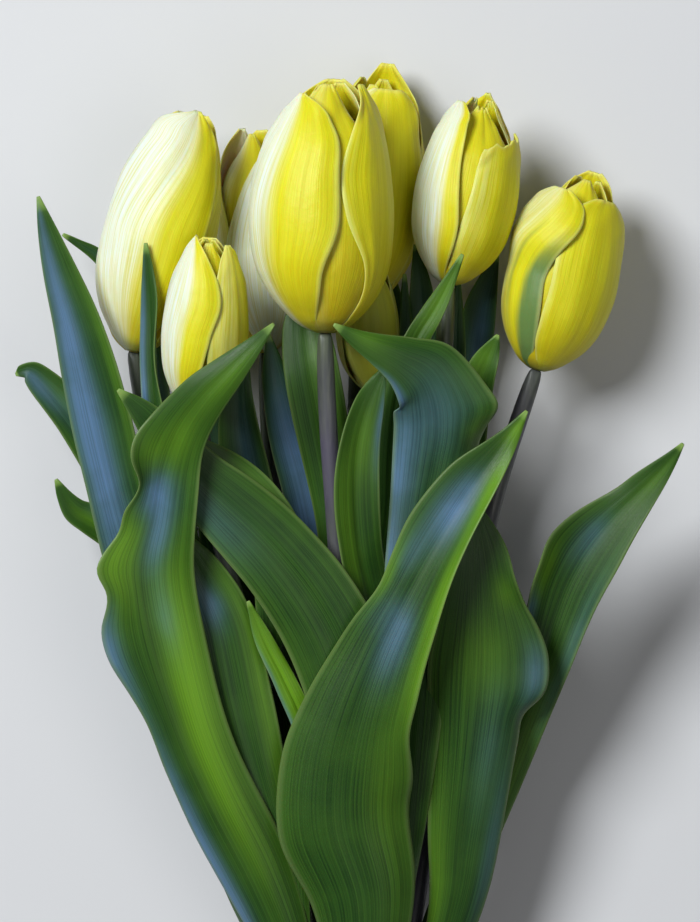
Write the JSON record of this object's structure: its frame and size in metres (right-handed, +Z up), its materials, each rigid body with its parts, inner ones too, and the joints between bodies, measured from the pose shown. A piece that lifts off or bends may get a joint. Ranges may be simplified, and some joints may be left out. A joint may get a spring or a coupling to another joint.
{
  "type": "bunch of tulips",
  "caption": "Bunch of cut tulips with closed yellow heads and broad green leaves, lying on its side, stems held by a rubber band.",
  "frame": {"origin": "centre of the bunch's footprint on the surface that it lies on", "axes": "+Y from the cut stem ends towards the flower heads, +Z up from the surface, +X to the right when seen from above with the heads away"},
  "size_m": [0.1876, 0.3756, 0.0765],
  "materials": {
    "tepals": "satin",
    "flower_heart": "satin",
    "stem": "satin",
    "leaf": "satin",
    "rubber_band": "matte"
  },
  "bodies": {
    "root": {"tulip_1_stem": "stem", "tulip_2_stem": "stem", "tulip_3_stem": "stem", "tulip_4_stem": "stem", "tulip_5_stem": "stem", "tulip_6_stem": "stem", "tulip_7_stem": "stem", "tulip_8_stem": "stem", "rubber_band": "rubber_band", "tulip_1_outer_tepals": "tepals", "tulip_1_inner_tepals": "tepals", "tulip_1_pistil": "flower_heart", "tulip_2_outer_tepals": "tepals", "tulip_2_inner_tepals": "tepals", "tulip_2_pistil": "flower_heart", "tulip_3_outer_tepals": "tepals", "tulip_3_inner_tepals": "tepals", "tulip_3_pistil": "flower_heart", "tulip_4_outer_tepals": "tepals", "tulip_4_inner_tepals": "tepals", "tulip_4_pistil": "flower_heart", "tulip_5_outer_tepals": "tepals", "tulip_5_inner_tepals": "tepals", "tulip_5_pistil": "flower_heart", "tulip_6_outer_tepals": "tepals", "tulip_6_inner_tepals": "tepals", "tulip_6_pistil": "flower_heart", "tulip_7_outer_tepals": "tepals", "tulip_7_inner_tepals": "tepals", "tulip_7_pistil": "flower_heart", "tulip_8_outer_tepals": "tepals", "tulip_8_inner_tepals": "tepals", "tulip_8_pistil": "flower_heart", "leaf_front_left": "leaf", "leaf_front_centre": "leaf", "leaf_curled_over": "leaf", "leaf_broad_right": "leaf", "leaf_far_right": "leaf", "leaf_tall_left": "leaf", "leaf_hooked_left": "leaf", "leaf_low_left": "leaf", "leaf_small_far_left": "leaf", "leaf_narrow_left": "leaf", "leaf_crossing": "leaf", "leaf_crossing_under": "leaf", "leaf_left_inner_broad": "leaf", "leaf_bright_sliver": "leaf", "leaf_silvery": "leaf", "leaf_inner_left": "leaf", "leaf_behind_stem": "leaf", "leaf_inner_curved": "leaf", "leaf_spear": "leaf", "leaf_small_centre": "leaf", "leaf_beside_head": "leaf", "leaf_short_right": "leaf", "leaf_back_right": "leaf", "leaf_narrow_right": "leaf", "leaf_under_centre": "leaf", "leaf_under_left": "leaf"}
  },
  "joints": []
}
